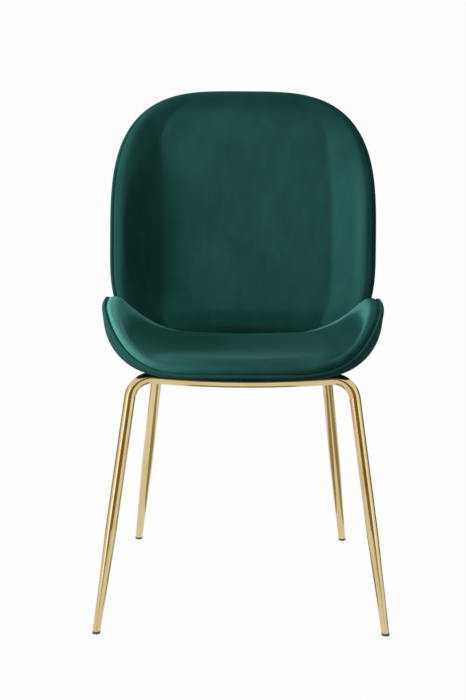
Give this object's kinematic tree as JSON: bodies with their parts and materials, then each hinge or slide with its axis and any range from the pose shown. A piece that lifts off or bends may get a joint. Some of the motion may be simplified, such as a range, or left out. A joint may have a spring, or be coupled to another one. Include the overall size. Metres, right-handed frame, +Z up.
{
  "type": "dining chair",
  "caption": "Dining chair with a padded velvet seat shell, a separate padded velvet back shell and splayed, tapered brass-coloured tube legs.",
  "frame": {"origin": "on the floor, under the middle of the chair's bounding box", "axes": "+Z up, -Y towards the front of the chair, +X to the right of someone facing its front"},
  "size_m": [0.5078, 0.4976, 0.8694],
  "materials": {
    "velvet": "short-pile velvet",
    "shell_plastic": "moulded, fine grain",
    "board": "raw fibreboard",
    "foam": "open-cell cushion foam",
    "brass_tube": "polished, plated",
    "black_steel": "black powder coat",
    "fastener_steel": "zinc plated",
    "spacer_rubber": "moulded",
    "glide_plastic": "moulded"
  },
  "bodies": {
    "root": {"back_outer_cover": "velvet", "back_front_cover": "velvet", "seat_under_cover": "velvet", "seat_top_cover": "velvet", "back_shell": "shell_plastic", "seat_shell": "shell_plastic", "back_board": "board", "seat_board": "board", "back_foam": "foam", "seat_foam": "foam", "front_cross_tube": "brass_tube", "rear_cross_tube": "brass_tube", "front_left_leg": "brass_tube", "front_right_leg": "brass_tube", "rear_left_leg": "brass_tube", "rear_right_leg": "brass_tube", "left_rail": "black_steel", "right_rail": "black_steel", "back_bracket": "black_steel", "seat_bolts": "fastener_steel", "seat_washers": "fastener_steel", "seat_tee_nuts": "fastener_steel", "back_bolts": "fastener_steel", "back_washers": "fastener_steel", "back_tee_nuts": "fastener_steel", "seat_spacers": "spacer_rubber", "front_left_glide": "glide_plastic", "front_right_glide": "glide_plastic", "rear_left_glide": "glide_plastic", "rear_right_glide": "glide_plastic"}
  },
  "joints": []
}
